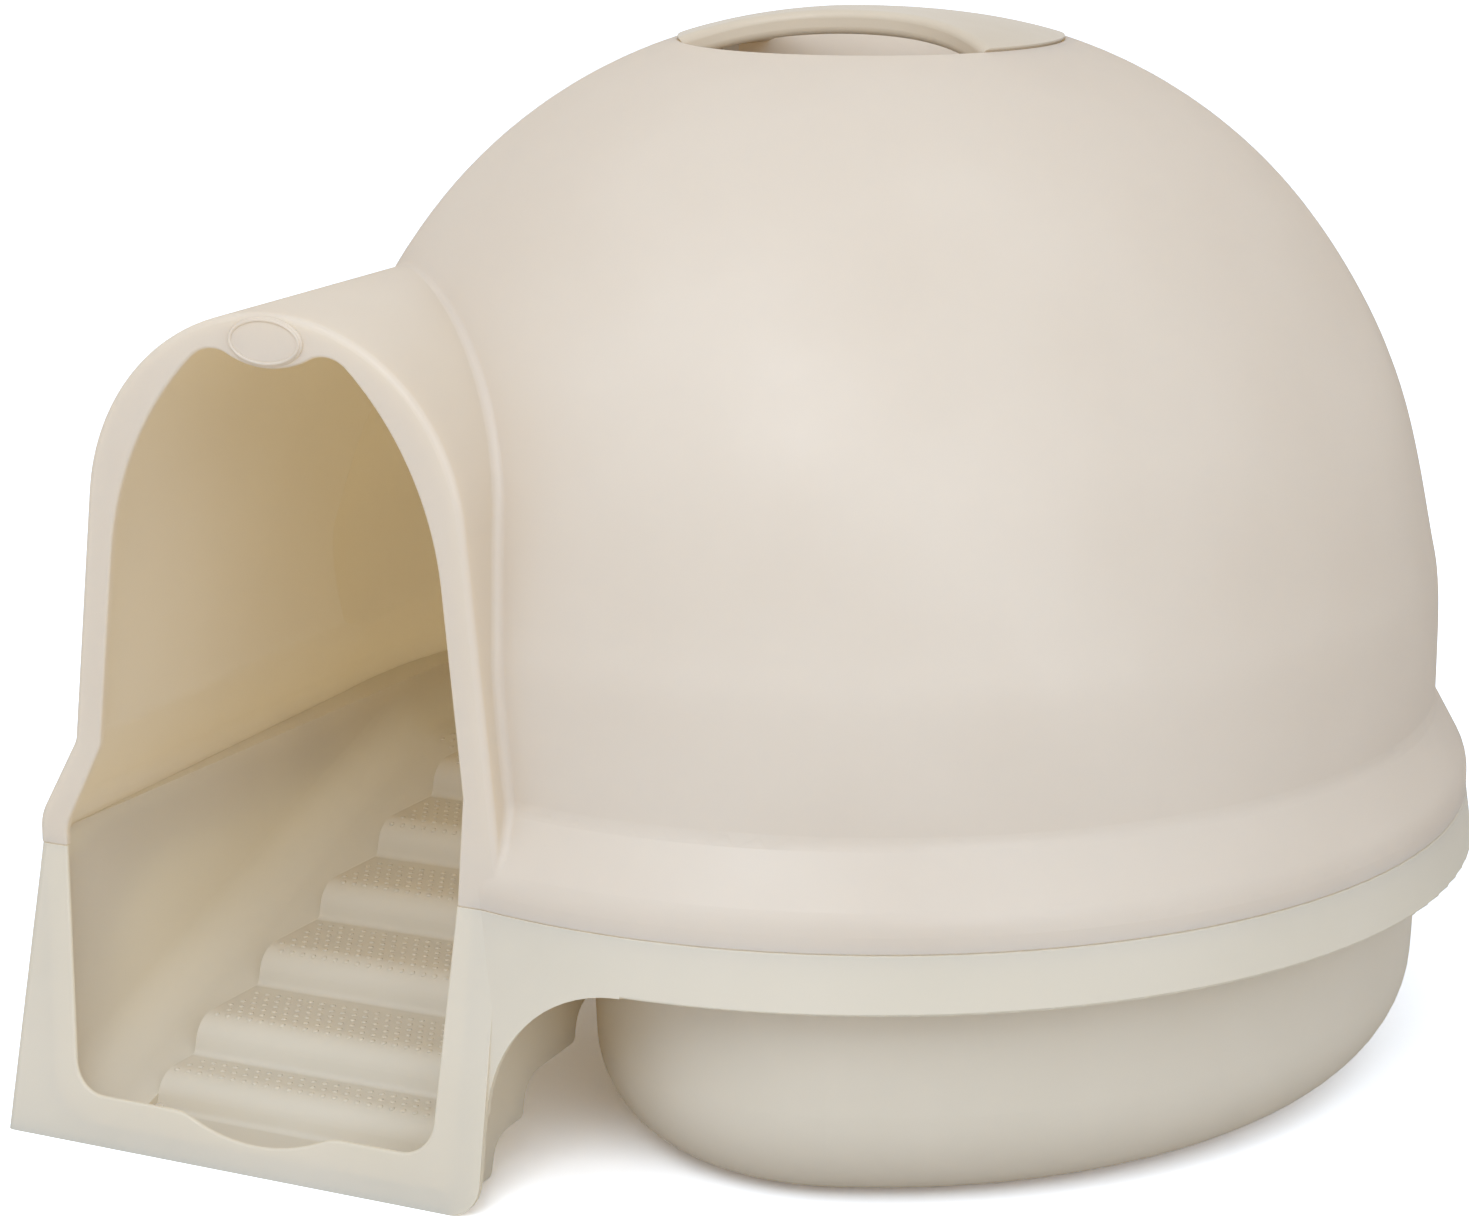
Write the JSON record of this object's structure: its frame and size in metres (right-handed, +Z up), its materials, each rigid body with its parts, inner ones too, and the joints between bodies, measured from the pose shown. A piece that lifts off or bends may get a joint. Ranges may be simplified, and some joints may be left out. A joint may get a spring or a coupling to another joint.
{
  "type": "cat litter box with hood",
  "caption": "Round litter pan with a stepped entrance ramp, under a lift-off domed hood with an arched tunnel doorway, a recessed carry handle and an odour filter.",
  "frame": {"origin": "on the floor, under the vertical axis of the dome and of the round bowl", "axes": "+Z up, -Y towards the face of the doorway, +X to the right of someone who faces the doorway"},
  "size_m": [0.5751, 0.5869, 0.4804],
  "materials": {
    "pan_plastic": "matte",
    "hood_plastic": "satin pearl",
    "handle_plastic": "satin pearl",
    "filter_felt": "felt",
    "cover_plastic": "matte"
  },
  "bodies": {
    "pan": {"base_pan": "pan_plastic"},
    "hood": {"hood_dome": "hood_plastic", "hood_tunnel": "hood_plastic", "hood_dish": "hood_plastic", "carry_handle": "handle_plastic"},
    "filter": {"filter_cover": "cover_plastic", "filter_pad": "filter_felt"}
  },
  "joints": [
    {"name": "hood_lift", "type": "slide", "parent": "pan", "child": "hood", "axis": [0, 0, 1], "range_m": [0, 0.3]},
    {"name": "filter_drop", "type": "slide", "parent": "hood", "child": "filter", "axis": [0, 0, -1], "range_m": [0, 0.06]}
  ]
}
